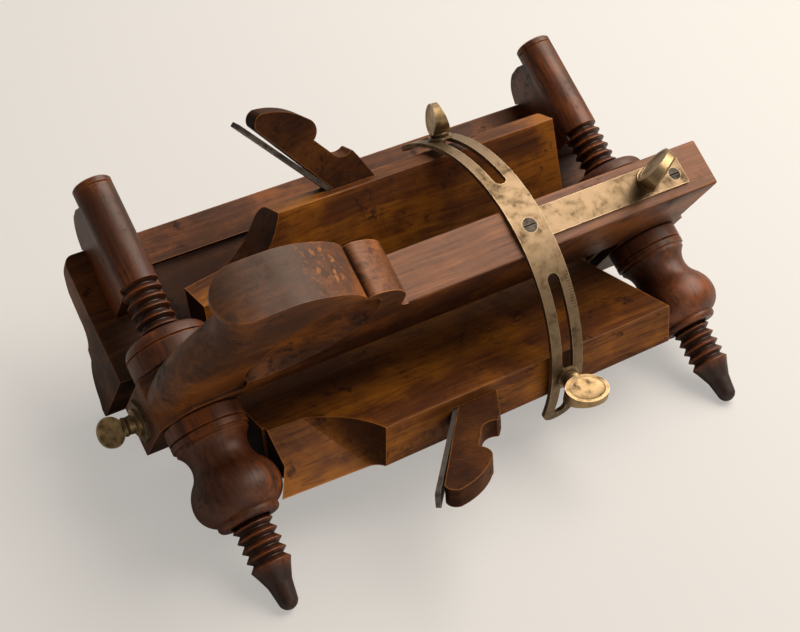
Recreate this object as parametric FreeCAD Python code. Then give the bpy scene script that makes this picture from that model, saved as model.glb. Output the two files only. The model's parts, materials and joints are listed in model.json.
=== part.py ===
import FreeCAD
import Part
import math
import os
from FreeCAD import Vector

# Double-bevelling woodworking plane, in millimetres.
# Everything is built in the tool's own frame: X towards the toe, Y towards the fence,
# Z up, with the origin on the hinge line of the two side planes. The last step tips it
# onto the table, where it rests on the two arm tips and the fence's lower edge.

os.makedirs("parts", exist_ok=True)

# centre stock
nearY = -18.3
farY = 16.3
topZ = 109.0
underZ = 44.0
footZ = -21.6
toeX = 152.3
toeStep = 5.2
stepZ = 49.5
heelX = -256.3
frontBlockX = 103.7
rearBlockX = -204.5
palmTipX = -246.7
recessDepth = 9.5
neckInset = 3.2

# screw arms
armX = (-227.7, 129.6)
armZ = 28.4
crestR = 13.4
threadDepth = 3.1
pitch = 6.6
threadFar = 76.8
threadNear = -124.0
armFar = 152.5
tipR = 6.5
tipY = -144.5
boreR = 13.7
webInner = 72.0

# side planes
openAngle = 42.0
bodyDeep = 104.8
bodyThick = 28.8
bodyRear = -198.5
bodyFront = 89.0
nearSkew = 5.0
farSkew = -4.3
farRound = 14.0
bedAngle = 47.0
ironThick = 3.2
ironLow = 8.2
ironHigh = 19.7
ironTop = 164.0
nearIronTop = 169.5
slotLow = 7.45
slotHigh = 20.45
mouthX = 2.9
wedgeAngle = 58.5
wedgeFrontX = -58.6
nearWedgeOut = 6.0
farWedgeOut = -1.0
nearShift = 7.7
nearTurn = 1.6
turnDeep = 90.0
screwLean = 7.6

# hinge
rodR = 4.0
rodPlay = 0.06
rodGroove = 4.7
hingePlate = 2.0

# brass plate
strapIn = 109.4
strapThick = 3.0
strapHalf = 12.5
slotHalf = 4.55
slotInnerAngle = 72.5
slotOuterAngle = 17.6
legNear = -11.0
legFar = 9.8
legFront = 129.6
legTop = 111.0
legThick = 2.5
topScrewX = 99.0
legScrewX = 121.6

# fence
fenceIn = 29.8
fenceOut = 124.0
fenceTop = -7.2
fenceLow = -80.0
fenceFront = 144.0
edgeR = 2.5
pocketRear = -203.5
pocketFront = 100.0
pocketOut = 99.4


def box(x0, x1, y0, y1, z0, z1):
    return Part.makeBox(x1 - x0, y1 - y0, z1 - z0, Vector(x0, y0, z0))


def polyEdges(points):
    edges = []
    for first, second in zip(points, points[1:]):
        edges.append(Part.makeLine(first, second))
    return edges


def arc(first, middle, last):
    return Part.Arc(first, middle, last).toShape()


def curve(points):
    line = Part.BSplineCurve()
    line.interpolate(points)
    return line.toShape()


def sheet(edges):
    return Part.Face(Part.Wire(Part.sortEdges(edges)[0]))


def sideSheet(edges):
    # a profile drawn in X and Z, given the stock's thickness
    return sheet(edges).extrude(Vector(0, farY - nearY, 0)).translated(Vector(0, nearY, 0))


def xz(x, z, y=0.0):
    return Vector(x, y, z)


def pick(shape, test):
    return [edge for edge in shape.Edges if test(edge)]


def lineAlong(edge, axis):
    if edge.Curve.TypeId != "Part::GeomLine":
        return False
    return abs(edge.tangentAt(edge.FirstParameter).dot(axis)) > 0.999


def turnedY(points, x, z):
    # points are (distance along Y, radius), closed and revolved about an arm's axis
    rim = [Vector(x + radius, along, z) for along, radius in points]
    rim.append(rim[0])
    return Part.Face(Part.makePolygon(rim)).revolve(Vector(x, 0, z), Vector(0, 1, 0), 360)


def neck():
    # the grip's back: thinner than the stock, its rear edges brought almost to a half round
    back = curve([xz(-241.5, 192.5), xz(-240.3, 184.0), xz(-237.8, 172.0), xz(-235.8, 160.0),
                  xz(-234.6, 141.0), xz(-242.9, 113.8), xz(-250.6, 92.7), xz(-255.0, 73.5),
                  xz(-256.2, 54.3), xz(-256.3, 30.0)])
    rest = polyEdges([xz(-256.3, 30.0), xz(-200.0, 30.0), xz(-200.0, 196.2), xz(-227.5, 196.2),
                      xz(-241.5, 192.5)])
    wide = farY - nearY - 2 * neckInset
    grip = sheet([back] + rest).extrude(Vector(0, wide, 0))
    grip.translate(Vector(0, nearY + neckInset, 0))
    rear = pick(grip, lambda e: e.Curve.TypeId == "Part::GeomBSplineCurve")
    return grip.makeFillet(wide / 2 - 0.2, rear)


def palm():
    crown = curve([xz(-147.8, 158.0), xz(-162.2, 175.2), xz(-174.7, 184.8), xz(-190.1, 193.5),
                   xz(-203.5, 197.8), xz(-216.0, 198.3), xz(-227.5, 197.7), xz(-240.0, 194.8),
                   xz(palmTipX, 191.5)])
    under = [xz(palmTipX, 191.5), xz(palmTipX, 188.5), xz(-240.0, 191.8), xz(-227.5, 194.7),
             xz(-205.0, 194.9), xz(-205.0, 140.0), xz(-150.0, 140.0), xz(-147.8, 158.0)]
    slab = sideSheet([crown] + polyEdges(under))
    half = (farY - nearY) / 2
    centre = palmTipX + half
    end = Part.makeCylinder(half, 90, Vector(centre, (farY + nearY) / 2, 120))
    plan = end.fuse(box(centre, -140, nearY, farY, 120, 210))
    return slab.common(plan)


def hump():
    # the round bead behind the top flat, with its hollow in front and its groove behind
    bottom = 140.0
    edges = [arc(xz(-101.8, topZ), xz(-106.9, 111.6), xz(-109.6, 117.6))]
    edges.append(arc(xz(-109.6, 117.6), xz(-117.6, 142.5), xz(-139.2, 158.0)))
    edges.append(arc(xz(-139.2, 158.0), xz(-143.7, 157.9), xz(-147.2, 155.2)))
    edges += polyEdges([xz(-147.2, 155.2), xz(-147.8, 158.0), xz(-150.0, bottom), xz(-205.0, bottom),
                        xz(-205.0, 60.0), xz(-101.8, 60.0), xz(-101.8, topZ)])
    return sideSheet(edges)


def board():
    rim = [xz(-203.5, topZ), xz(toeX, topZ), xz(toeX, stepZ + 3), xz(toeX + toeStep, stepZ - 2),
           xz(toeX + toeStep, footZ), xz(frontBlockX, footZ), xz(frontBlockX, underZ),
           xz(rearBlockX, underZ), xz(rearBlockX, footZ), xz(heelX, footZ), xz(heelX, 33.0),
           xz(-238.0, 56.0), xz(-203.5, 56.0), xz(-203.5, topZ)]
    slab = sideSheet(polyEdges(rim))

    def worn(edge):
        reach = edge.BoundBox
        long = lineAlong(edge, Vector(1, 0, 0)) and reach.ZMin > topZ - 0.1
        toe = reach.XMin > toeX - 0.1 and reach.XMax < toeX + 0.1 and reach.ZMax > topZ - 0.1
        return long or toe
    return slab.makeFillet(1.6, pick(slab, worn))


def waist(side):
    # the stock thins towards the grip: a wedge of wood taken off each face
    face = nearY if side < 0 else farY
    deep = face - side * neckInset
    over = face + side * 1.0
    plan = [Vector(-140.0, face, 0), Vector(-205.0, deep, 0), Vector(-215.0, deep, 0),
            Vector(-215.0, over, 0), Vector(-140.0, over, 0), Vector(-140.0, face, 0)]
    slice = Part.Face(Part.makePolygon(plan)).extrude(Vector(0, 0, 220))
    crown = curve([xz(-147.8, 155.0), xz(-162.2, 172.2), xz(-174.7, 181.8), xz(-190.1, 190.5),
                   xz(-206.0, 194.9)])
    rest = polyEdges([xz(-206.0, 194.9), xz(-206.0, 57.0), xz(-203.5, 57.0), xz(-203.5, 72.0),
                      xz(-185.0, 110.0), xz(-150.0, 140.0), xz(-141.0, 150.0), xz(-147.8, 155.0)])
    region = sheet([crown] + rest).extrude(Vector(0, 80, 0)).translated(Vector(0, -40, 0))
    return slice.common(region)


def drawnIn(points, focus, share):
    # the points pulled towards a focus, most in the middle of the run and not at its ends
    last = len(points) - 1
    moved = []
    for step, (x, z) in enumerate(points):
        pull = share * math.sin(math.pi * step / last)
        moved.append((x + pull * (focus[0] - x), z + pull * (focus[1] - z)))
    return moved


def recess(side):
    # the finger hollow: a long slope rises to its lower rim, a steep wall to its upper one
    low = [(-203.5, 66.5), (-195.0, 65.7), (-180.5, 65.6), (-167.5, 68.7), (-154.7, 75.3),
           (-142.0, 86.0), (-133.5, 97.0), (-129.0, 109.0), (-129.0, 126.4), (-133.0, 142.0),
           (-138.0, 149.0)]
    high = [(-138.0, 149.0), (-143.8, 151.9), (-151.7, 154.5), (-164.5, 152.5), (-175.5, 145.5),
            (-186.0, 135.5), (-194.5, 121.5), (-199.5, 110.5), (-203.0, 97.5), (-206.5, 85.6),
            (-206.0, 74.0), (-203.5, 66.5)]
    face = nearY if side < 0 else farY
    wires = []
    for level, slope, wall in ((0.4, 0, 0), (-0.34, 0.22, 0.6), (-0.67, 0.5, 0.9), (-1, 1, 1)):
        y = face + side * (level if level > 0 else level * recessDepth)
        lower = [xz(x, z, y) for x, z in drawnIn(low, (-180.0, 128.0), 0.55 * slope)]
        upper = [xz(x, z, y) for x, z in drawnIn(high, (-172.0, 110.0), 0.08 * wall)]
        wires.append(Part.Wire([curve(lower), curve(upper)]))
    return Part.makeLoft(wires, True, False)


def centreStock():
    body = board().fuse([hump(), palm()])
    body = body.cut(waist(-1)).cut(waist(1))
    body = body.fuse(neck()).removeSplitter()
    cuts = [recess(-1), recess(1)]
    for x in armX:
        cuts.append(Part.makeCylinder(boreR, 60, Vector(x, -30, armZ), Vector(0, 1, 0)))
    cuts.append(Part.makeCylinder(rodR, 60, Vector(heelX - 2, 0, 0), Vector(1, 0, 0)))
    cuts.append(Part.makeCylinder(rodR, 80, Vector(frontBlockX - 2, 0, 0), Vector(1, 0, 0)))
    cuts.append(Part.makeCylinder(strapIn + strapThick, 2 * strapHalf, Vector(-strapHalf, 0, 0),
                                  Vector(1, 0, 0)).cut(
        Part.makeCylinder(strapIn, 2 * strapHalf, Vector(-strapHalf, 0, 0), Vector(1, 0, 0))))
    cuts.append(box(strapHalf - 1, legFront, legNear, legFar, legTop - legThick, topZ + 5))
    cuts.append(Part.makeCylinder(3.0, 90, Vector(topScrewX, 0, 30)))
    for x, y, top, radius in screwSpots():
        cuts.append(sinkHead(x, y, top, radius, 2.0, top - topZ + 22))
    for cutter in cuts:
        body = body.cut(cutter)
    return body


def screwSpots():
    # (x, y, top of the head, radius of the head)
    return ((0.0, 0.0, strapIn + strapThick, 5.4), (legScrewX, -2.2, legTop, 4.6))


def radialPlug(radius, angle):
    # a cylinder standing on the hinge line, pointing out at an angle in the Y-Z plane
    out = Vector(0, math.cos(math.radians(angle)), math.sin(math.radians(angle)))
    return Part.makeCylinder(radius, 40, out * 95, out)


def ringSector(inner, outer, half, low, high):
    rim = [Vector(-half, inner, 0), Vector(half, inner, 0), Vector(half, outer, 0),
           Vector(-half, outer, 0), Vector(-half, inner, 0)]
    face = Part.Face(Part.makePolygon(rim))
    face.rotate(Vector(0, 0, 0), Vector(1, 0, 0), low)
    return face.revolve(Vector(0, 0, 0), Vector(1, 0, 0), high - low)


def sinkHead(x, y, top, radius, shaft, length):
    cone = Part.makeCone(shaft, radius, radius - shaft, Vector(x, y, top - radius + shaft - 0.7))
    rim = Part.makeCylinder(radius, 0.7, Vector(x, y, top - 0.7))
    stem = Part.makeCylinder(shaft, length, Vector(x, y, top - length))
    return cone.fuse([rim, stem])


def brassPlate():
    outer = strapIn + strapThick
    band = ringSector(strapIn, outer, strapHalf, slotOuterAngle, 180 - slotOuterAngle)
    shell = ringSector(strapIn, outer, strapHalf + 1, 5, 175)
    for angle in (slotOuterAngle, 180 - slotOuterAngle):
        band = band.fuse(radialPlug(strapHalf, angle).common(shell))
    inner = slotInnerAngle - 2.4
    for low, high in ((slotOuterAngle, inner), (180 - inner, 180 - slotOuterAngle)):
        band = band.cut(ringSector(strapIn - 5, outer + 5, slotHalf, low, high))
        band = band.cut(radialPlug(slotHalf, low)).cut(radialPlug(slotHalf, high))
    leg = box(0, legFront, legNear, legFar, legTop - legThick, legTop)
    leg = leg.cut(Part.makeCylinder(strapIn, 60, Vector(-30, 0, 0), Vector(1, 0, 0)).common(
        box(-30, strapHalf - 0.5, -40, 40, 0, 130)))
    plate = band.fuse(leg).removeSplitter()
    plate = plate.cut(Part.makeCylinder(2.56, 20, Vector(topScrewX, 0, 100)))
    for x, y, top, radius in screwSpots():
        plate = plate.cut(sinkHead(x, y, top, radius, 2.0, 20))
    return plate


def plateScrews():
    heads = []
    for x, y, top, radius in screwSpots():
        screw = sinkHead(x, y, top - 0.15, radius - 0.15, 2.0, top - 0.15 - (topZ - 22))
        screw = screw.cut(box(x - 6, x + 6, y - 0.6, y + 0.6, top - 1.3, top + 1))
        heads.append(screw)
    return Part.makeCompound(heads)


def pivotRod():
    rod = Part.makeCylinder(rodR, 140 - heelX + 12, Vector(heelX - 12, 0, 0), Vector(1, 0, 0))
    return rod.cut(box(139, 142, -5, 5, -0.5, 0.5))


def pivotWasher():
    radius = 13.4 / math.cos(math.radians(22.5))
    rim = []
    for step in range(9):
        turn = math.radians(22.5 + 45 * step)
        rim.append(Vector(heelX, radius * math.cos(turn), radius * math.sin(turn)))
    plate = Part.Face(Part.makePolygon(rim)).extrude(Vector(-2.2, 0, 0))
    return plate.cut(Part.makeCylinder(rodR, 10, Vector(heelX - 5, 0, 0), Vector(1, 0, 0)))


def ovalPad(high, wide, low, thick, root, centre, dished):
    # an oval grip on the X axis, thicker towards its root, its faces turned to +Z and -Z
    pad = Part.makeCylinder(1.0, root, Vector(0, 0, -root / 2))
    stretch = FreeCAD.Matrix()
    stretch.scale(Vector(high, wide, 1))
    pad = pad.transformGeometry(stretch)
    pad.translate(Vector(centre, 0, 0))
    tip = centre + high
    taper = [Vector(low, 0, -root / 2), Vector(low, 0, root / 2), Vector(tip, 0, thick / 2),
             Vector(tip + 1, 0, thick / 2), Vector(tip + 1, 0, -thick / 2),
             Vector(tip, 0, -thick / 2), Vector(low, 0, -root / 2)]
    block = Part.Face(Part.makePolygon(taper)).extrude(Vector(0, 3 * wide, 0))
    pad = pad.common(block.translated(Vector(0, -1.5 * wide, 0)))
    if not dished:
        return pad
    slope = math.atan2(root - thick, 2 * (tip - low))
    level = root / 2 - math.tan(slope) * (centre - low)
    for side in (-1, 1):
        pad = pad.cut(dish(high, wide, slope, side).translated(Vector(centre, 0, side * level)))
    return pad


def dish(high, wide, slope, side):
    # the shallow oval hollow in each face of the grip
    stretch = FreeCAD.Matrix()
    stretch.scale(Vector(0.84 * high, 0.84 * wide, 1.1))
    bowl = Part.makeSphere(1.0).transformGeometry(stretch)
    bowl.rotate(Vector(0, 0, 0), Vector(0, 1, 0), side * math.degrees(slope))
    return bowl


def thumbHead(start, centre, high, wide, thick, root, collarR, neckR):
    # a turned collar and round neck along X, carrying a flattened oval grip
    seat = start + 2.6
    rim = [Vector(start, 0, 0), Vector(start, collarR, 0), Vector(start + 1.5, collarR, 0),
           Vector(start + 2.2, neckR - 1.4, 0), Vector(seat, neckR - 1.4, 0)]
    top = centre - high * 0.88
    edges = polyEdges(rim)
    edges.append(arc(rim[-1], Vector((seat + top) / 2, neckR + 0.4, 0), Vector(top, neckR - 1.6, 0)))
    edges += polyEdges([Vector(top, neckR - 1.6, 0), Vector(top, 0, 0), Vector(start, 0, 0)])
    turned = sheet(edges).revolve(Vector(0, 0, 0), Vector(1, 0, 0), 360)
    pad = ovalPad(high, wide, seat + 1.5, thick, root, centre, True)
    return turned.fuse(pad)


def thumbScrew(start, centre, high, wide, thick, root, shaftR, tail, turn):
    head = thumbHead(start, centre, high, wide, thick, root, 8.2, 6.6)
    shaft = Part.makeCylinder(shaftR, start - tail, Vector(tail, 0, 0), Vector(1, 0, 0))
    screw = head.fuse(shaft).removeSplitter()
    screw.rotate(Vector(0, 0, 0), Vector(1, 0, 0), turn)
    return screw


def arcScrew(side, turn, centre, high, wide):
    screw = thumbScrew(strapIn + strapThick + 0.35, centre, high, wide, 4.6, 13.0, 3.0, 84.0, turn)
    screw.rotate(Vector(0, 0, 0), Vector(0, 1, 0), screwLean)
    return placeSide(screw, side)


def topScrew():
    screw = thumbScrew(legTop + 0.1, legTop + 17.5, 12.0, 15.2, 5.0, 16.0, 2.5, 20.0, -61.0)
    screw.rotate(Vector(0, 0, 0), Vector(0, 1, 0), -90)
    screw.translate(Vector(topScrewX, 0, 0))
    return screw


def pivotNut():
    start = 2.3
    rim = [Vector(start, 0, 0), Vector(start, 9.4, 0), Vector(start + 2.0, 9.4, 0),
           Vector(start + 3.2, 6.4, 0), Vector(start + 7.0, 5.9, 0), Vector(start + 9.0, 6.6, 0),
           Vector(start + 10.8, 5.6, 0), Vector(start + 12.6, 0, 0), Vector(start, 0, 0)]
    nut = Part.Face(Part.makePolygon(rim)).revolve(Vector(0, 0, 0), Vector(1, 0, 0), 360)
    pad = ovalPad(8.7, 10.3, start + 9.0, 3.6, 7.0, start + 18.4, False)
    nut = nut.fuse(pad).cut(
        Part.makeCylinder(rodR + rodPlay, 10.2, Vector(start - 0.2, 0, 0), Vector(1, 0, 0)))
    nut.rotate(Vector(0, 0, 0), Vector(1, 0, 0), -17)
    nut.rotate(Vector(0, 0, 0), Vector(0, 0, 1), 180)
    nut.translate(Vector(heelX, 0, 0))
    return nut


# A side plane is drawn with its depth e1 along +X, its thickness e2 along -Z and the
# tool's X along +Y, then turned into place on the near or the far side.

def placeSide(shape, side):
    # first about Z so that depth runs along -Y or +Y, then about X to open the pair
    placed = shape.copy()
    placed.rotate(Vector(0, 0, 0), Vector(0, 0, 1), 90)
    placed.rotate(Vector(0, 0, 0), Vector(1, 0, 0), openAngle)
    if side < 0:
        placed = placed.mirror(Vector(0, 0, 0), Vector(0, 1, 0))
    return placed


def inBody(x, e1, e2=0.0):
    # tool X is -Y before the quarter turn
    return Vector(e1, -x, -e2)


def bodySheet(edges, low, high):
    face = sheet(edges)
    face.translate(Vector(0, 0, -low))
    return face.extrude(Vector(0, 0, low - high))


def bedX(e1):
    return mouthX - e1 / math.tan(math.radians(bedAngle))


def faceX(e1):
    return bedX(e1) + ironThick / math.sin(math.radians(bedAngle))


def frontX(e1):
    return wedgeFrontX + (bodyDeep - e1) / math.tan(math.radians(wedgeAngle))


def wedgeOut(side):
    return nearWedgeOut if side < 0 else farWedgeOut


def slotFront(e1, side):
    # a wedge that stands further out is met by a mortise that closes up by as much
    gap = math.sin(math.radians(wedgeAngle - bedAngle)) / math.sin(math.radians(wedgeAngle))
    return frontX(e1) - wedgeOut(side) * gap


def scoop(side):
    # the hollow at the rear outer corner; on the near side it only reaches part way down
    past = bodyRear - 16
    if side < 0:
        lower = [(-138.8, bodyDeep), (-141.6, 100.6), (-146.6, 98.2), (past, 93.4)]
    else:
        lower = [(-137.5, bodyDeep), (-150.5, 83.0), (-174.0, 67.5), (past, 61.7)]
    upper = [(-135.9, bodyDeep), (-149.5, 80.0), (-173.0, 62.5), (past, 58.9)]
    wires = []
    for e2, points in ((-0.2, upper), (bodyThick + 0.2, lower)):
        spots = [inBody(x, e1, e2) for x, e1 in points]
        above = [inBody(past, bodyDeep + 8, e2), inBody(points[0][0], bodyDeep + 8, e2)]
        edges = [arc(spots[0], spots[1], spots[2])]
        edges += polyEdges([spots[2], spots[3], above[0], above[1], spots[0]])
        wires.append(Part.Wire(edges))
    return Part.makeLoft(wires, True, True)


def sidePlane(side):
    if side < 0:
        # cut back to clear the outer nut's bulge, then reaching out beyond it
        skew = nearSkew
        rear = [inBody(-208.6, bodyDeep), inBody(-208.6, 95.0), inBody(-196.8, 80.0),
                inBody(-196.8, 57.0), inBody(bodyRear, 57.0)]
    else:
        skew = farSkew
        rear = [inBody(bodyRear, bodyDeep)]
    rim = [inBody(bodyRear, 0), inBody(bodyFront, 0), inBody(bodyFront, 24.0),
           inBody(bodyFront + skew, bodyDeep)] + rear + [inBody(bodyRear, 0)]
    body = bodySheet(polyEdges(rim), 0, bodyThick)

    def outer(edge):
        return lineAlong(edge, Vector(0, 1, 0)) and edge.BoundBox.XMin > bodyDeep - 0.1

    def lower(edge):
        return edge.BoundBox.ZMax < 0.1 - bodyThick
    if side > 0:
        body = body.makeFillet(farRound, pick(body, lambda e: outer(e) and lower(e)))
        body = body.makeFillet(0.9, pick(body, outer))
    else:
        def front(edge):
            return lower(edge) and edge.BoundBox.YMax < -bodyFront + 0.1
        body = body.makeFillet(0.9, pick(body, lambda e: outer(e) or front(e)))
    body = body.cut(scoop(side))
    body = body.cut(Part.makeCylinder(rodGroove, 400, Vector(0, -200, 0), Vector(0, 1, 0)))
    throat = 30.0
    slot = [inBody(bedX(bodyDeep + 5), bodyDeep + 5), inBody(bedX(-5), -5),
            inBody(faceX(0) + 3.4, -5), inBody(faceX(0) + 3.0, 0),
            inBody(slotFront(throat, side), throat),
            inBody(slotFront(bodyDeep + 5, side), bodyDeep + 5),
            inBody(bedX(bodyDeep + 5), bodyDeep + 5)]
    mortise = bodySheet(polyEdges(slot), slotLow, slotHigh)
    mouth = inBody(-4.5, 17.0, slotHigh - 3)
    mortise = mortise.fuse(Part.makeCone(9.0, 13.0, 13.0, mouth, Vector(0, 0, -1)))
    body = body.cut(forward(mortise, side))
    body = body.cut(bushCore(6.0, 21.0))
    body = body.cut(bushCore(3.4, 28.0))
    for spot in hingeScrewSpots():
        body = body.cut(hingeScrew(spot, 0.0))
    return placeSide(body, side)


def forward(shape, side):
    # the near mortise and wedge stand further forward than the far ones and a little steeper
    placed = shape.copy()
    if side < 0:
        placed.rotate(inBody(bedX(turnDeep), turnDeep), Vector(0, 0, 1), -nearTurn)
        placed.translate(Vector(0, -nearShift, 0))
    return placed


def bedOf(side):
    return bedAngle if side > 0 else bedAngle + nearTurn


def mouthOf(side):
    # where the bed meets the sole
    if side > 0:
        return mouthX
    return bedX(turnDeep) + nearShift + turnDeep / math.tan(math.radians(bedOf(side)))


def bushCore(radius, deep):
    # the clamp screw points straight at the hinge line, so it leans across the edge face
    core = Part.makeCylinder(radius, deep + 8, Vector(bodyDeep + 1 - deep, 0, 0), Vector(1, 0, 0))
    core.rotate(Vector(0, 0, 0), Vector(0, 1, 0), screwLean)
    return core


def threadBush(side):
    sunk = 0.2 if side < 0 else 1.2
    bush = bushCore(6.0, 21.0).common(box(0, bodyDeep - sunk, -20, 20, -40, 10))
    bush = bush.cut(bushCore(3.06, 30.0))
    return placeSide(bush, side)


def iron(side):
    back = math.radians(bedOf(side))
    length = (nearIronTop if side < 0 else ironTop) / math.sin(back)
    middle = (ironLow + ironHigh) / 2
    half = (ironHigh - ironLow) / 2
    # drawn flat: length along X from the edge, width along Y, thickness along Z
    blade = box(0, length, -half, half, 0, ironThick)
    corners = pick(blade, lambda e: lineAlong(e, Vector(0, 0, 1)) and e.BoundBox.XMin > length - 0.1)
    blade = blade.makeFillet(2.4, corners)
    bevel = sheet(polyEdges([Vector(-0.1, 0, -0.1), Vector(ironThick / math.tan(back), 0, ironThick),
                             Vector(-5, 0, ironThick + 0.1), Vector(-5, 0, -0.1),
                             Vector(-0.1, 0, -0.1)]))
    blade = blade.cut(bevel.extrude(Vector(0, 40, 0)).translated(Vector(0, -20, 0)))
    # stand it on the bed: width along -Z, length along the bed, face to the toe
    u = Vector(math.sin(back), math.cos(back), 0)
    w = Vector(math.cos(back), -math.sin(back), 0)
    v = w.cross(u)
    base = inBody(mouthOf(side), 0.0, middle)
    turn = FreeCAD.Matrix(u.x, v.x, w.x, base.x, u.y, v.y, w.y, base.y, u.z, v.z, w.z, base.z)
    blade.transformShape(turn)
    return placeSide(blade, side)


def wedge(side):
    low = 24.0
    lean = 1.8 if side < 0 else 0.0

    def head(x, e1):
        return inBody(x - lean, e1)
    edges = polyEdges([inBody(faceX(low), low), inBody(faceX(bodyDeep), bodyDeep),
                       head(-138.4, 160.6)])
    edges.append(arc(head(-138.4, 160.6), head(-138.0, 166.2), head(-133.0, 169.8)))
    edges.append(arc(head(-133.0, 169.8), head(-116.0, 166.4), head(-101.5, 157.7)))
    edges.append(arc(head(-101.5, 157.7), head(-96.4, 150.5), head(-99.5, 142.4)))
    edges.append(Part.makeLine(head(-99.5, 142.4), head(-88.5, 130.3)))
    edges.append(arc(head(-88.5, 130.3), head(-81.0, 125.6), head(-74.0, 127.6)))
    edges += polyEdges([head(-74.0, 127.6), head(-72.6, 127.2), inBody(frontX(122.0), 122.0),
                        inBody(frontX(40.0), 40.0), inBody(faceX(low), low)])
    solid = bodySheet(edges, slotLow, slotHigh)
    bed = math.radians(bedAngle)
    solid.translate(Vector(math.sin(bed), math.cos(bed), 0) * wedgeOut(side))
    return placeSide(forward(solid, side), side)


def hingeScrewSpots():
    # (which end, e1, e2)
    return ((-1, 17.0, 9.0), (-1, 17.0, 20.0), (1, 17.0, 9.0), (1, 17.0, 20.0))


def hingeScrew(spot, less):
    end, e1, e2 = spot
    face = bodyRear if end < 0 else bodyFront
    inward = Vector(0, -1, 0) if end < 0 else Vector(0, 1, 0)
    start = inBody(face, e1, e2) - inward * hingePlate
    head = Part.makeCone(3.2 - less, 1.6, 1.6 - less, start + inward * less, inward)
    return head.fuse(Part.makeCylinder(1.6, 14.0 - less, start + inward * less, inward))


def hingeScrews(side):
    solids = []
    for spot in hingeScrewSpots():
        screw = hingeScrew(spot, 0.1)
        solids.append(screw)
    return placeSide(Part.makeCompound(solids), side)


def hingeEar(face, out, ear, far):
    # face: tool X of the body's end; out: +1 or -1 away from the body
    first = face
    second = face + out * hingePlate
    leaf = Part.makeBox(12.6, hingePlate, bodyThick - 4, Vector(9.4, -max(first, second), 2 - bodyThick))
    near = face + out * ear
    tip = near + out * hingePlate
    axis = Vector(0, 1, 0)
    eye = Part.makeCylinder(8.0, hingePlate, Vector(0, -max(near, tip), 0), axis)
    tongue = Part.makeBox(16.0, hingePlate, 8.0, Vector(0, -max(near, tip), -8.0))
    shape = leaf.fuse([eye, tongue])
    if far:
        joint = Part.makeBox(6.6, ear, 6.0, Vector(9.4, -max(near, face), -8.0))
        shape = shape.fuse(joint)
    return shape


def hingePlates(side):
    solids = []
    ear = 0.0 if side < 0 else hingePlate + 0.4
    for end, face in ((-1, bodyRear), (1, bodyFront)):
        plate = hingeEar(face, end, ear, side > 0)
        plate = plate.cut(Part.makeCylinder(rodR + rodPlay, 500, Vector(0, -250, 0), Vector(0, 1, 0)))
        for spot in hingeScrewSpots():
            plate = plate.cut(hingeScrew(spot, 0.0))
        solids.append(plate)
    return placeSide(Part.makeCompound(solids), side)


def depthStop():
    back = topScrewX - 1.9
    plate = box(back, back + 3.8, -13.0, 13.0, -10.0, 30.0)
    slot = box(back - 1, back + 5, -rodR - 0.5, rodR + 0.5, -1.0, 13.0)
    slot = slot.fuse(Part.makeCylinder(rodR + 0.5, 6, Vector(back - 1, 0, -0.3), Vector(1, 0, 0)))
    slot = slot.fuse(Part.makeCylinder(rodR + 0.5, 6, Vector(back - 1, 0, 12.8), Vector(1, 0, 0)))
    boss = Part.makeCylinder(4.2, 17.0, Vector(topScrewX, 0, 26.0))
    stop = plate.cut(slot).fuse(boss).removeSplitter()
    return stop.cut(Part.makeCylinder(2.56, 60, Vector(topScrewX, 0, 0)))


def yz(y, z):
    return Vector(0, y, z)


def fence():
    edges = polyEdges([yz(fenceIn, fenceLow + edgeR), yz(fenceIn, fenceTop), yz(fenceOut, fenceTop)])
    edges.append(arc(yz(fenceOut, fenceTop), yz(118.5, -19.0), yz(107.0, -29.5)))
    edges += polyEdges([yz(107.0, -29.5), yz(87.4, -31.6)])
    edges.append(arc(yz(87.4, -31.6), yz(75.6, -34.8), yz(70.1, -46.5)))
    edges += polyEdges([yz(70.1, -46.5), yz(63.4, -50.4)])
    edges.append(arc(yz(63.4, -50.4), yz(56.4, -65.0), yz(42.0, -75.0)))
    edges += polyEdges([yz(42.0, -75.0), yz(36.0, fenceLow), yz(fenceIn + edgeR, fenceLow)])
    mid = edgeR * (1 - math.cos(math.radians(45)))
    edges.append(arc(yz(fenceIn + edgeR, fenceLow), yz(fenceIn + mid, fenceLow + mid),
                     yz(fenceIn, fenceLow + edgeR)))
    bar = sheet(edges).extrude(Vector(fenceFront - heelX, 0, 0)).translated(Vector(heelX, 0, 0))
    for x, out in ((heelX, -1), (fenceFront, 1)):
        block = box(min(x, x - out * 7), max(x, x - out * 7), fenceOut - 7, fenceOut + 1, -60, 5)
        corner = Part.makeCylinder(7, 70, Vector(x - out * 7, fenceOut - 7, -62))
        bar = bar.cut(block.cut(corner))
    floor = [yz(fenceIn - 1, fenceTop + 1), yz(fenceIn - 1, -24.5), yz(50.0, -18.0),
             yz(pocketOut, -11.5), yz(pocketOut, fenceTop + 1), yz(fenceIn - 1, fenceTop + 1)]
    pocket = Part.Face(Part.makePolygon(floor)).extrude(Vector(pocketFront - pocketRear, 0, 0))
    bar = bar.cut(pocket.translated(Vector(pocketRear, 0, 0)))
    for x, y in armScrewSpots():
        bar = bar.cut(armScrew(x, y, 0.0))
    return bar


def armScrewSpots():
    spots = []
    for x in armX:
        spots.append((x, 84.0))
        spots.append((x, 108.0))
    return spots


def armScrew(x, y, less):
    # driven up from under the fence into the web, its head sunk in a counterbore
    low = -26.0
    head = Part.makeCylinder(4.2 - less, 3.0 - less, Vector(x, y, low))
    stem = Part.makeCylinder(2.2, 34.0, Vector(x, y, low))
    sink = Part.makeCylinder(4.2, 20.0, Vector(x, y, low - 20))
    if less:
        return head.fuse(stem)
    return head.fuse([stem, sink])


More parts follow.
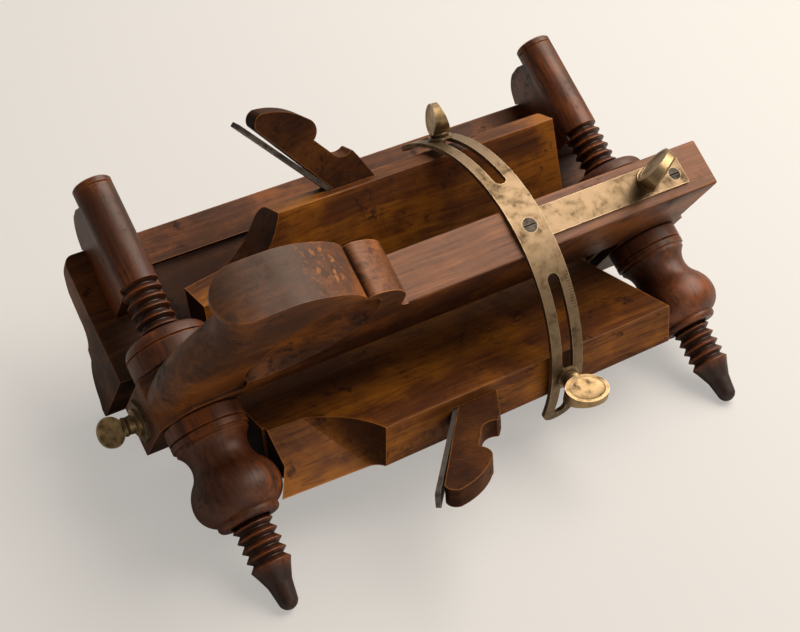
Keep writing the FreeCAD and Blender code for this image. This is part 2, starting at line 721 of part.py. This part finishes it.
def armScrews():
    solids = []
    for x, y in armScrewSpots():
        screw = armScrew(x, y, 0.1)
        screw = screw.cut(box(x - 6, x + 6, y - 0.6, y + 0.6, -27, -24.9))
        solids.append(screw)
    return Part.makeCompound(solids)


def armOutline():
    root = crestR - threadDepth
    points = [(armFar, 0.0), (armFar, crestR - 0.9), (armFar - 0.9, crestR),
              (armFar - 4.0, crestR), (armFar - 4.7, crestR - 0.7), (armFar - 5.4, crestR),
              (threadFar, crestR)]
    turns = int((threadFar - threadNear) / pitch)
    for step in range(turns):
        crest = threadFar - step * pitch
        points.append((crest - 0.35 * pitch, root))
        points.append((crest - 0.43 * pitch, root))
        points.append((crest - 0.93 * pitch, crestR))
        points.append((crest - pitch, crestR))
    points += [(threadNear - 1.5, 11.4), (-134.0, 8.1)]
    for step in range(0, 7):
        turn = math.radians(step * 15)
        points.append((tipY - tipR * math.sin(turn), tipR * math.cos(turn)))
    return points


def arm(x):
    turned = turnedY(armOutline(), x, armZ)
    edges = polyEdges([yz(webInner, armZ), yz(webInner, fenceTop), yz(fenceOut + 0.1, fenceTop),
                       yz(125.8, -10.6), yz(133.4, -7.6)])
    edges.append(arc(yz(133.4, -7.6), yz(140.6, -1.4), yz(144.0, 6.0)))
    edges += polyEdges([yz(144.0, 6.0), yz(144.0, 16.0), yz(140.0, armZ), yz(webInner, armZ)])
    web = sheet(edges).extrude(Vector(2 * crestR - 0.4, 0, 0))
    web.translate(Vector(x - crestR + 0.2, 0, 0))
    whole = turned.fuse(web)
    for sx, sy in armScrewSpots():
        if sx == x:
            whole = whole.cut(Part.makeCylinder(2.2, 60.0, Vector(sx, sy, -52.0)))
    return whole


def outerNut(x):
    face = 0.1 - nearY

    def spot(along, radius):
        return Vector(x + radius, -along, armZ)
    edges = polyEdges([spot(face, boreR), spot(face, 24.6)])
    edges.append(arc(spot(face, 24.6), spot(face + 0.6, 25.6), spot(face + 1.8, 26.0)))
    edges += polyEdges([spot(face + 1.8, 26.0), spot(28.4, 26.0), spot(29.2, 24.6), spot(30.0, 26.0),
                        spot(33.4, 25.9), spot(34.3, 24.2), spot(36.4, 24.4)])
    edges.append(arc(spot(36.4, 24.4), spot(46.6, 19.7), spot(57.5, 23.8)))
    edges.append(arc(spot(57.5, 23.8), spot(64.3, 27.9), spot(72.5, 29.4)))
    edges.append(arc(spot(72.5, 29.4), spot(81.2, 26.8), spot(86.2, 21.6)))
    edges += polyEdges([spot(86.2, 21.6), spot(86.9, 20.3)])
    edges.append(arc(spot(86.9, 20.3), spot(89.5, 20.4), spot(91.6, 18.2)))
    edges += polyEdges([spot(91.6, 18.2), spot(91.6, boreR), spot(face, boreR)])
    return sheet(edges).revolve(Vector(x, 0, armZ), Vector(0, 1, 0), 360)


def innerNut(x):
    face = farY + 0.1

    def spot(along, radius):
        return Vector(x + radius, along, armZ)
    edges = polyEdges([spot(face, boreR), spot(face, 26.6)])
    edges.append(arc(spot(face, 26.6), spot(face + 0.6, 28.0), spot(face + 2.2, 28.5)))
    edges += polyEdges([spot(face + 2.2, 28.5), spot(30.0, 28.5), spot(30.8, 27.3),
                        spot(31.6, 28.3)])
    edges.append(arc(spot(31.6, 28.3), spot(37.0, 26.2), spot(40.0, 21.0)))
    edges += polyEdges([spot(40.0, 21.0), spot(40.0, boreR), spot(face, boreR)])
    return sheet(edges).revolve(Vector(x, 0, armZ), Vector(0, 1, 0), 360)


def tiltAngle():
    # the plane touching the round arm tips and the fence's rounded lower edge
    dy = tipY - (fenceIn + edgeR)
    dz = armZ - (fenceLow + edgeR)
    reach = math.hypot(dy, dz)
    return math.degrees(math.atan2(dz, -dy) + math.asin((edgeR - tipR) / reach))


def allParts():
    rear, front = armX
    return {
        "center_stock": centreStock(),
        "brass_plate": brassPlate(),
        "plate_screws": plateScrews(),
        "pivot_rod": pivotRod(),
        "pivot_washer": pivotWasher(),
        "pivot_thumb_nut": pivotNut(),
        "top_thumb_screw": topScrew(),
        "near_thumb_screw": arcScrew(-1, 6.0, 133.0, 12.0, 16.2),
        "far_thumb_screw": arcScrew(1, 75.0, 127.0, 10.5, 12.0),
        "near_plane_body": sidePlane(-1),
        "far_plane_body": sidePlane(1),
        "near_thread_bush": threadBush(-1),
        "far_thread_bush": threadBush(1),
        "near_iron": iron(-1),
        "far_iron": iron(1),
        "near_wedge": wedge(-1),
        "far_wedge": wedge(1),
        "near_hinge_plates": hingePlates(-1),
        "far_hinge_plates": hingePlates(1),
        "near_hinge_screws": hingeScrews(-1),
        "far_hinge_screws": hingeScrews(1),
        "depth_stop": depthStop(),
        "fence": fence(),
        "rear_arm": arm(rear),
        "front_arm": arm(front),
        "arm_screws": armScrews(),
        "rear_outer_nut": outerNut(rear),
        "front_outer_nut": outerNut(front),
        "rear_inner_nut": innerNut(rear),
        "front_inner_nut": innerNut(front),
    }


def main():
    shapes = allParts()
    tilt = tiltAngle()
    whole = FreeCAD.BoundBox()
    for name in shapes:
        shapes[name].rotate(Vector(0, 0, 0), Vector(1, 0, 0), tilt)
        whole.add(shapes[name].optimalBoundingBox())
    shift = Vector(-whole.Center.x, -whole.Center.y, -whole.ZMin)
    print("tilt", round(tilt, 4), "shift", shift, "size", whole.XLength, whole.YLength, whole.ZLength)
    for name, shape in shapes.items():
        shape.translate(shift)
        solids = len(shape.Solids)
        print(name, "solids", solids, "valid", shape.isValid(), "volume", round(shape.Volume, 1))
        shape.exportStep("parts/" + name + ".step")


main()
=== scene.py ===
import json
import math

import bmesh
import bpy
from mathutils import Matrix, Vector

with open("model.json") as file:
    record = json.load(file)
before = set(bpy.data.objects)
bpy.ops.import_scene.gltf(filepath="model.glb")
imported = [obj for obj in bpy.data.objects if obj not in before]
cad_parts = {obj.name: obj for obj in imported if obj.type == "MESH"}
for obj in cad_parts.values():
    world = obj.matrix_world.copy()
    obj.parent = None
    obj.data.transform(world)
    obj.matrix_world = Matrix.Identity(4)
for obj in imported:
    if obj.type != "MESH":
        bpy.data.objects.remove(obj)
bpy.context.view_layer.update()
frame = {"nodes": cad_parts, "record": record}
nodes = frame["nodes"]

# The tool leans on its arm tips, so its own axes are tipped about X and shifted.
tip = math.radians(29.8087)
shift = Vector((0.06335, 0.025853, 0.053689))
toRow = Matrix.Translation(shift) @ Matrix.Rotation(tip, 4, "X")
toTool = toRow.inverted()
# rays that each edge or corner mask sends out from a point
raySamples = 6


class Wire:
    # a shader socket that can stand in a sum; each sum adds a Math node
    def __init__(self, finish, socket):
        self.finish = finish
        self.socket = socket

    def math(self, operation, first, second=None, third=None):
        inputs = {0: first}
        if second is not None:
            inputs[1] = second
        if third is not None:
            inputs[2] = third
        return self.finish.node("ShaderNodeMath", {"operation": operation}, inputs)

    def __add__(self, other):
        return self.math("ADD", self, other)

    def __radd__(self, other):
        return self.math("ADD", other, self)

    def __sub__(self, other):
        return self.math("SUBTRACT", self, other)

    def __rsub__(self, other):
        return self.math("SUBTRACT", other, self)

    def __mul__(self, other):
        return self.math("MULTIPLY", self, other)

    def __rmul__(self, other):
        return self.math("MULTIPLY", other, self)

    def __truediv__(self, other):
        return self.math("DIVIDE", self, other)

    def __pow__(self, other):
        return self.math("POWER", self, other)

    def least(self, other):
        return self.math("MINIMUM", self, other)

    def most(self, other):
        return self.math("MAXIMUM", self, other)

    def size(self):
        return self.math("ABSOLUTE", self)

    def step(self, low, high):
        # 0 below low, 1 above high, smooth between
        settings = {"interpolation_type": "SMOOTHSTEP"}
        return self.finish.node("ShaderNodeMapRange", settings, {0: self, 1: low, 2: high})


class Finish:
    # one material, made node by node
    def __init__(self, name):
        self.material = bpy.data.materials.new(name)
        self.material.use_nodes = True
        self.tree = self.material.node_tree
        self.tree.nodes.clear()

    def node(self, kind, settings, inputs, output=0):
        made = self.tree.nodes.new(kind)
        for key, value in settings.items():
            if key == "stops":
                self.fillRamp(made.color_ramp, value)
            else:
                setattr(made, key, value)
        for key, value in inputs.items():
            if isinstance(value, Wire):
                self.tree.links.new(value.socket, made.inputs[key])
            else:
                made.inputs[key].default_value = value
        if not made.outputs:
            return None
        return Wire(self, made.outputs[output])

    def fillRamp(self, ramp, stops):
        while len(ramp.elements) < len(stops):
            ramp.elements.new(0.5)
        for element, (place, colour) in zip(ramp.elements, stops):
            element.position = place
            element.color = (*colour, 1)

    def toolPlace(self, turn=None):
        # the point's place in the tool's own frame, in metres
        spot = self.node("ShaderNodeTexCoord", {}, {}, "Object")
        away = toTool.translation
        inputs = {"Vector": spot, "Location": away, "Rotation": (-tip, 0, 0)}
        place = self.node("ShaderNodeMapping", {}, inputs)
        if turn is not None:
            place = self.node("ShaderNodeMapping", {}, {"Vector": place, "Rotation": turn})
        return place

    def apart(self, vector):
        first = self.node("ShaderNodeSeparateXYZ", {}, {0: vector})
        return [Wire(self, socket) for socket in first.socket.node.outputs]

    def stretch(self, vector, scale):
        return self.node("ShaderNodeVectorMath", {"operation": "MULTIPLY"}, {0: vector, 1: scale})

    def moved(self, vector, amount, strength):
        # pushes a vector about by a colour such as a noise's
        half = self.node("ShaderNodeVectorMath", {"operation": "SUBTRACT"},
                         {0: amount, 1: (0.5, 0.5, 0.5)})
        some = self.node("ShaderNodeVectorMath", {"operation": "SCALE"}, {0: half, 3: strength})
        return self.node("ShaderNodeVectorMath", {"operation": "ADD"}, {0: vector, 1: some})

    def noise(self, vector, scale, detail=4.0, rough=0.55, output="Fac"):
        inputs = {"Vector": vector, "Scale": scale, "Detail": detail, "Roughness": rough}
        return self.node("ShaderNodeTexNoise", {}, inputs, output)

    def mix(self, factor, first, second, blend="MIX"):
        settings = {"data_type": "RGBA", "blend_type": blend}
        return self.node("ShaderNodeMix", settings, {0: factor, 6: first, 7: second}, 2)

    def ramp(self, factor, stops):
        return self.node("ShaderNodeValToRGB", {"stops": stops}, {0: factor})

    def along(self, first, second):
        # how far one direction lies along another
        return self.node("ShaderNodeVectorMath", {"operation": "DOT_PRODUCT"},
                         {0: first, 1: second}, "Value")

    def facing(self):
        return self.node("ShaderNodeNewGeometry", {}, {}, "Normal")

    def edges(self, radius):
        # 1 along edges, 0 on flat faces
        rounded = self.node("ShaderNodeBevel", {"samples": raySamples}, {"Radius": radius})
        return (1 - self.along(rounded, self.facing())).step(0.015, 0.16)

    def crevice(self, reach, local=True):
        # 1 deep in a corner, of the piece itself or of the whole tool, and 0 out in the open
        settings = {"only_local": local, "samples": raySamples}
        return 1 - self.node("ShaderNodeAmbientOcclusion", settings, {"Distance": reach}, "AO")

    def bump(self, height, distance, strength, below=None):
        inputs = {"Height": height, "Distance": distance, "Strength": strength}
        if below is not None:
            inputs["Normal"] = below
        return self.node("ShaderNodeBump", {}, inputs)

    def finish(self, inputs):
        shader = self.node("ShaderNodeBsdfPrincipled", {}, inputs)
        self.node("ShaderNodeOutputMaterial", {}, {"Surface": shader})
        return self.material


def rgba(red, green, blue):
    return (red, green, blue, 1.0)


def shade(colour, share):
    return rgba(*[part * share for part in colour])


# Each wood: three tones of its grain, the colour and strength of its worn edges, of its dust with
# painted sheen on upper faces and of its soil, how much painted shade darkens the faces towards
# the heel, the stretch and turn of its grain, and its roughness and shine.
woodLook = {
    "stock": {
        "dark": (0.02, 0.0044, 0.001), "mid": (0.0941, 0.0263, 0.0054),
        "light": (0.3136, 0.0986, 0.014), "worn": (0.42, 0.142, 0.033),
        "wear": 0.8, "dustSheen": (0.3, 0.13, 0.064), "dustSheenShare": 0.5,
        "soil": 0.75, "heelShade": 0.15, "shine": 0.3, "gloss": 0.44,
        "grain": (5.0, 120.0, 120.0), "turn": None,
    },
    "body": {
        "dark": (0.024, 0.005, 0.0008), "mid": (0.1207, 0.0333, 0.0041),
        "light": (0.368, 0.1288, 0.0076), "worn": (0.44, 0.16, 0.03),
        "wear": 0.8, "dustSheen": (0.22, 0.098, 0.046), "dustSheenShare": 0.15,
        "soil": 0.62, "heelShade": 0.75, "shine": 0.2, "gloss": 0.48,
        "grain": (5.0, 120.0, 120.0), "turn": None,
    },
    "fence": {
        "dark": (0.012, 0.0034, 0.0015), "mid": (0.0841, 0.0239, 0.0072),
        "light": (0.319, 0.0957, 0.0159), "worn": (0.33, 0.125, 0.036),
        "wear": 0.75, "dustSheen": (0.15, 0.07, 0.036), "dustSheenShare": 0.2,
        "soil": 0.8, "heelShade": 0.2, "shine": 0.2, "gloss": 0.5,
        "grain": (5.0, 110.0, 110.0), "turn": None,
    },
    "arm": {
        "dark": (0.01, 0.0024, 0.0008), "mid": (0.0851, 0.0198, 0.0044),
        "light": (0.299, 0.0782, 0.0121), "worn": (0.36, 0.108, 0.025),
        "wear": 0.8, "dustSheen": (0.2, 0.092, 0.05), "dustSheenShare": 0.12,
        "soil": 0.6, "heelShade": 0.0, "shine": 0.4, "gloss": 0.38,
        "grain": (90.0, 7.0, 90.0), "turn": None,
    },
    "wedge": {
        "dark": (0.012, 0.0028, 0.0006), "mid": (0.0432, 0.0116, 0.0021),
        "light": (0.1105, 0.0357, 0.0047), "worn": (0.3, 0.108, 0.024),
        "wear": 0.75, "dustSheen": (0.16, 0.07, 0.034), "dustSheenShare": 0.08,
        "soil": 0.6, "heelShade": 0.3, "shine": 0.12, "gloss": 0.52,
        "grain": (9.0, 130.0, 130.0), "turn": (0.0, 0.5, 0.0),
    },
}
toolUp = (0.0, -math.sin(tip), math.cos(tip))
toHeel = (-1.0, 0.0, 0.0)
# where the two arms' axes run in the tool's frame, and the radii of their thread, in metres
armAxis = {"x": (-0.2277, 0.1296), "z": 0.0284, "core": 0.0103, "crest": 0.0134}
# noise scales of the woods, per metre, and widths of their masks, in metres
woodScale = {"wander": 9.0, "bend": 0.012, "fibre": 2.6, "band": 0.16, "cloud": 17.0,
             "patch": 48.0, "spots": 210.0, "wear": 31.0, "pores": 3.2, "dents": 95.0,
             "corner": 0.010, "hollow": 0.070, "edge": 0.0016}
# where the palm rest blends out towards the toe and below, where its chips begin, in metres of the
# tool's frame, and the colours of its grime and of its bare wood
palmLook = {"front": (-0.154, -0.148), "foot": (0.140, 0.150), "chips": (-0.20, -0.165),
            "grime": (0.044, 0.023, 0.014), "bare": (0.36, 0.135, 0.032)}


def palmRest(finish, place, colour, up, cloud, patch, spots):
    # hands have blackened the palm rest, and its front has lost chips of the old finish
    x, y, z = finish.apart(place)
    palm = (1 - x.step(*palmLook["front"])) * z.step(*palmLook["foot"]) * up.step(0.35, 0.70)
    held = palm * (cloud * 0.7 + patch * 0.5).step(0.40, 0.66)
    colour = finish.mix(held * 0.8, colour, rgba(*palmLook["grime"]))
    chips = palm * x.step(*palmLook["chips"]) * spots.step(0.54, 0.60) * patch.step(0.46, 0.56)
    return finish.mix(chips * 0.8, colour, rgba(*palmLook["bare"]))


def turnedArm(finish, place, colour, look, band, fibre):
    # dark streaks along the arms, and dirt and painted shade in the valleys of their threads
    streak = band.step(0.50, 0.60) * fibre.step(0.42, 0.60)
    colour = finish.mix(streak * 0.75, colour, rgba(*look["dark"]))
    x, y, z = finish.apart(place)
    radii = []
    for centre in armAxis["x"]:
        across = x - centre
        lift = z - armAxis["z"]
        radii.append((across * across + lift * lift) ** 0.5)
    valleyDirtShade = 1 - radii[0].least(radii[1]).step(armAxis["core"], armAxis["crest"] - 0.0006)
    return finish.mix(valleyDirtShade * 0.8, colour, rgba(0.014, 0.006, 0.004))


def wood(name, look):
    finish = Finish(name)
    scale = woodScale
    place = finish.toolPlace(look["turn"])
    wander = finish.noise(place, scale["wander"], 2.0, output="Color")
    bent = finish.moved(place, wander, scale["bend"])
    fibre = finish.noise(finish.stretch(bent, look["grain"]), scale["fibre"], 8.0, 0.62)
    wide = [share * scale["band"] for share in look["grain"]]
    band = finish.noise(finish.stretch(bent, wide), 2.0, 5.0, 0.55)
    cloud = finish.noise(place, scale["cloud"], 5.0, 0.6)
    patch = finish.noise(place, scale["patch"], 5.0, 0.65)
    spots = finish.noise(place, scale["spots"], 3.0, 0.6)
    tone = band * 0.55 + fibre * 0.45
    colour = finish.ramp(tone, [(0.32, look["dark"]), (0.48, look["mid"]), (0.68, look["light"])])
    # broad stains from handling, then small dark marks and pores
    stain = cloud.step(0.42, 0.66) * look["soil"]
    colour = finish.mix(stain, colour, shade(look["mid"], 0.42))
    glow = (1 - cloud).step(0.46, 0.68) * 0.6
    colour = finish.mix(glow, colour, rgba(*look["light"]))
    marks = patch.step(0.56, 0.66) * spots.step(0.42, 0.56) * 0.85
    colour = finish.mix(marks, colour, rgba(*look["dark"]))
    narrow = [share * scale["pores"] for share in look["grain"]]
    pores = finish.noise(finish.stretch(bent, narrow), 2.2, 2.0, 0.5)
    colour = finish.mix(pores.step(0.56, 0.68) * 0.6, colour, rgba(*look["dark"]))
    # upper faces carry dust where hands have rubbed them, plus a painted sheen that grows as they
    # face up
    facing = finish.facing()
    up = finish.along(facing, toolUp)
    dustSheenMask = up.step(0.62, 0.97) * (cloud * 0.6 + fibre * 0.5).step(0.36, 0.66) * look["dustSheenShare"]
    colour = finish.mix(dustSheenMask, colour, rgba(*look["dustSheen"]))
    # faces turned to the heel get painted shade, darker the more they face that way
    heelShadeMask = finish.along(facing, toHeel).step(0.15, 0.75) * look["heelShade"]
    colour = finish.mix(heelShadeMask, colour, rgba(*look["dark"]))
    # grime and painted shade darken the corners
    grime = finish.crevice(scale["corner"]).step(0.10, 0.55) * (0.55 + patch * 0.6)
    colour = finish.mix(grime.least(0.9), colour, shade(look["dark"], 0.45))
    # painted shade, nearly black, in the hollows between the pieces
    deepShade = finish.crevice(scale["hollow"], False).step(0.30, 0.75)
    colour = finish.mix(deepShade * 0.7, colour, shade(look["dark"], 0.6))
    # rubbed edges, which come and go
    come = finish.noise(place, scale["wear"], 4.0, 0.6)
    worn = (patch * 0.5 + spots * 0.4 + come * 0.6).step(0.52, 0.76)
    rub = finish.edges(scale["edge"]) * worn * look["wear"]
    colour = finish.mix(rub, colour, rgba(*look["worn"]))
    if name == "stockWood":
        colour = palmRest(finish, place, colour, up, cloud, patch, spots)
    if name == "armWood":
        colour = turnedArm(finish, place, colour, look, band, fibre)
    rough = look["gloss"] + fibre * 0.12 + stain * 0.12 + marks * 0.15 - rub * 0.05
    low = finish.bump(fibre * 0.5 + pores * 0.5, 0.0006, 0.22)
    dents = finish.noise(place, scale["dents"], 3.0, 0.5)
    high = finish.bump(dents + patch * 0.4, 0.0020, 0.16, low)
    return finish.finish({"Base Color": colour, "Roughness": rough, "Normal": high,
                          "Specular IOR Level": look["shine"]})


# Each metal: its bright and its warm tone, its tarnish, its rubbed edges, how much tarnish there
# is, its roughness and how strongly it is pitted.
metalLook = {
    "plate": {
        "bright": (0.225, 0.16, 0.098), "warm": (0.155, 0.104, 0.055),
        "tarnish": (0.055, 0.038, 0.023), "edge": (0.6, 0.46, 0.28),
        "soil": 0.8, "rough": 0.46, "bump": 0.14,
    },
    "thumb": {
        "bright": (0.34, 0.238, 0.125), "warm": (0.17, 0.112, 0.052),
        "tarnish": (0.036, 0.023, 0.013), "edge": (0.7, 0.53, 0.31),
        "soil": 0.95, "rough": 0.36, "bump": 0.16,
    },
    "iron": {
        "bright": (0.16, 0.145, 0.13), "warm": (0.075, 0.062, 0.055),
        "tarnish": (0.024, 0.016, 0.012), "edge": (0.3, 0.28, 0.25),
        "soil": 0.8, "rough": 0.4, "bump": 0.2,
    },
    "screw": {
        "bright": (0.06, 0.05, 0.042), "warm": (0.026, 0.021, 0.017),
        "tarnish": (0.008, 0.006, 0.005), "edge": (0.15, 0.13, 0.11),
        "soil": 0.85, "rough": 0.45, "bump": 0.2,
    },
    "rod": {
        "bright": (0.16, 0.14, 0.12), "warm": (0.08, 0.066, 0.056),
        "tarnish": (0.03, 0.02, 0.014), "edge": (0.26, 0.23, 0.2),
        "soil": 0.8, "rough": 0.46, "bump": 0.2,
    },
}
# the engraved scale on the near front rail: angles in radians about the hinge line, the width of a
# line as a share of the step, and the rail's rear edge in metres
tickLook = {"from": 1.90, "to": 2.12, "every": 0.0175, "fade": 0.003, "width": 0.13,
            "inside": 0.0088}
# noise scales of the metals, per metre, and widths of their masks, in metres
metalScale = {"cloud": 34.0, "speck": 420.0, "fine": 150.0, "brush": (60.0, 1400.0, 1400.0),
              "corner": 0.004, "edge": 0.0007}


def ticks(finish, place):
    look = tickLook
    x, y, z = finish.apart(place)
    angle = z.math("ARCTAN2", z, y)
    near = (angle.math("FRACT", angle / look["every"]) - 0.5).size()
    line = 1 - near.step(look["width"] * 0.5, look["width"])
    started = angle.step(look["from"], look["from"] + look["fade"])
    ended = angle.step(look["to"] - look["fade"], look["to"])
    return line * started * (1 - ended) * x.step(look["inside"], look["inside"] + 0.0002)


def metal(name, look):
    finish = Finish(name)
    scale = metalScale
    tarnish = rgba(*look["tarnish"])
    place = finish.toolPlace()
    cloud = finish.noise(place, scale["cloud"], 6.0, 0.62)
    speck = finish.noise(place, scale["speck"], 4.0, 0.6)
    fine = finish.noise(place, scale["fine"], 6.0, 0.6)
    brushed = finish.noise(finish.stretch(place, scale["brush"]), 1.0, 3.0, 0.6)
    age = (cloud * 0.62 + fine * 0.38).step(0.44, 0.62)
    colour = finish.mix(age * 0.85, rgba(*look["bright"]), rgba(*look["warm"]))
    # tarnish in clouds and in pits, then in the corners
    pits = speck.step(0.64, 0.70) * fine.step(0.42, 0.60)
    dark = (cloud * 0.5 + fine * 0.5).step(0.53, 0.68) * look["soil"]
    dark = dark.most(pits * 0.9)
    colour = finish.mix(dark, colour, tarnish)
    corner = finish.crevice(scale["corner"]).step(0.15, 0.6)
    dark = dark.most(corner * 0.85)
    colour = finish.mix(corner * 0.8, colour, tarnish)
    if name == "plateBrass":
        line = ticks(finish, place)
        dark = dark.most(line)
        colour = finish.mix(line * 0.9, colour, shade(look["tarnish"], 0.4))
    rub = finish.edges(scale["edge"]) * fine.step(0.30, 0.55)
    colour = finish.mix(rub * 0.9, colour, rgba(*look["edge"]))
    rough = look["rough"] + age * 0.12 + dark * 0.22 + brushed * 0.08 - rub * 0.1
    low = finish.bump(brushed, 0.0002, look["bump"])
    high = finish.bump(fine - pits * 1.5, 0.0006, look["bump"], low)
    return finish.finish({"Base Color": colour, "Roughness": rough,
                          "Metallic": 1.0 - dark * 0.35, "Normal": high})


def dress():
    finishes = {
        "stock_wood": wood("stockWood", woodLook["stock"]),
        "body_wood": wood("bodyWood", woodLook["body"]),
        "fence_wood": wood("fenceWood", woodLook["fence"]),
        "arm_wood": wood("armWood", woodLook["arm"]),
        "wedge_wood": wood("wedgeWood", woodLook["wedge"]),
        "plate_brass": metal("plateBrass", metalLook["plate"]),
        "thumb_brass": metal("thumbBrass", metalLook["thumb"]),
        "iron_steel": metal("ironSteel", metalLook["iron"]),
        "screw_steel": metal("screwSteel", metalLook["screw"]),
        "rod_iron": metal("rodIron", metalLook["rod"]),
    }
    for subpart in frame["record"]["subparts"]:
        piece = nodes[subpart["node"]]
        piece.data.materials.clear()
        piece.data.materials.append(finishes[subpart["material_slot"]])
    print("finishes given to", len(nodes), "pieces")


# The floor's true colour lights the tool; the camera also sees a share of the shown colour in it.
studio = {
    "floorHalf": 3.0, "floor": (0.61, 0.60, 0.585), "aim": (0.0, 0.0, 0.08),
    "floorShown": (0.88, 0.84, 0.79), "floorLift": 0.46,
    "sky": (1.0, 0.92, 0.84), "skyStrength": 0.17,
    "key": {"place": (0.92, 0.0, 1.32), "size": (1.7, 1.3), "power": 42.0,
            "colour": (1.0, 0.91, 0.80)},
    "fill": {"place": (0.1, -1.5, 0.5), "size": (0.9, 0.7), "power": 3.0,
             "colour": (1.0, 0.90, 0.78)},
    "back": {"place": (0.9, 1.5, 0.8), "size": (1.4, 0.8), "power": 6.0,
             "colour": (1.0, 0.94, 0.86)},
}


def makeFloor():
    mesh = bmesh.new()
    bmesh.ops.create_grid(mesh, x_segments=1, y_segments=1, size=studio["floorHalf"])
    data = bpy.data.meshes.new("floor")
    mesh.to_mesh(data)
    mesh.free()
    floor = bpy.data.objects.new("floor", data)
    bpy.context.scene.collection.objects.link(floor)
    finish = Finish("floorPaper")
    spot = finish.node("ShaderNodeTexCoord", {}, {}, "Object")
    blotch = finish.noise(spot, 3.0, 2.0)
    paper = finish.mix(blotch * 0.1, rgba(*studio["floor"]), shade(studio["floor"], 0.94))
    matt = finish.node("ShaderNodeBsdfDiffuse", {}, {"Color": paper})
    shown = finish.node("ShaderNodeEmission", {}, {"Color": rgba(*studio["floorShown"])})
    eye = finish.node("ShaderNodeLightPath", {}, {}, "Is Camera Ray")
    both = finish.node("ShaderNodeMixShader", {}, {0: eye * studio["floorLift"], 1: matt, 2: shown})
    finish.node("ShaderNodeOutputMaterial", {}, {"Surface": both})
    floor.data.materials.append(finish.material)
    print("floor laid")


def makeLights():
    for name in ("key", "fill", "back"):
        look = studio[name]
        lamp = bpy.data.lights.new(name, "AREA")
        lamp.shape = "RECTANGLE"
        lamp.size, lamp.size_y = look["size"]
        lamp.energy = look["power"]
        lamp.color = look["colour"]
        holder = bpy.data.objects.new(name, lamp)
        bpy.context.scene.collection.objects.link(holder)
        holder.location = look["place"]
        aim = Vector(studio["aim"]) - holder.location
        holder.rotation_euler = aim.to_track_quat("-Z", "Y").to_euler()
    world = bpy.data.worlds.new("studio")
    world.use_nodes = True
    bpy.context.scene.world = world
    sky = world.node_tree.nodes["Background"]
    sky.inputs["Color"].default_value = rgba(*studio["sky"])
    sky.inputs["Strength"].default_value = studio["skyStrength"]
    print("lamps and sky set")


cameraLook = {"place": (-0.43326, -0.60827, 0.73892), "turn": (48.3894, -2.2657, -32.568),
              "lens": 66.69, "sensor": 36, "nearest": 0.01}


def makeCamera():
    lens = bpy.data.cameras.new("camera")
    lens.sensor_width = cameraLook["sensor"]
    lens.lens = cameraLook["lens"]
    lens.clip_start = cameraLook["nearest"]
    camera = bpy.data.objects.new("camera", lens)
    bpy.context.scene.collection.objects.link(camera)
    camera.location = cameraLook["place"]
    camera.rotation_euler = [math.radians(angle) for angle in cameraLook["turn"]]
    bpy.context.scene.camera = camera
    bpy.context.scene.view_settings.view_transform = "Standard"
    print("camera set")


makeCamera()
makeFloor()
makeLights()
dress()
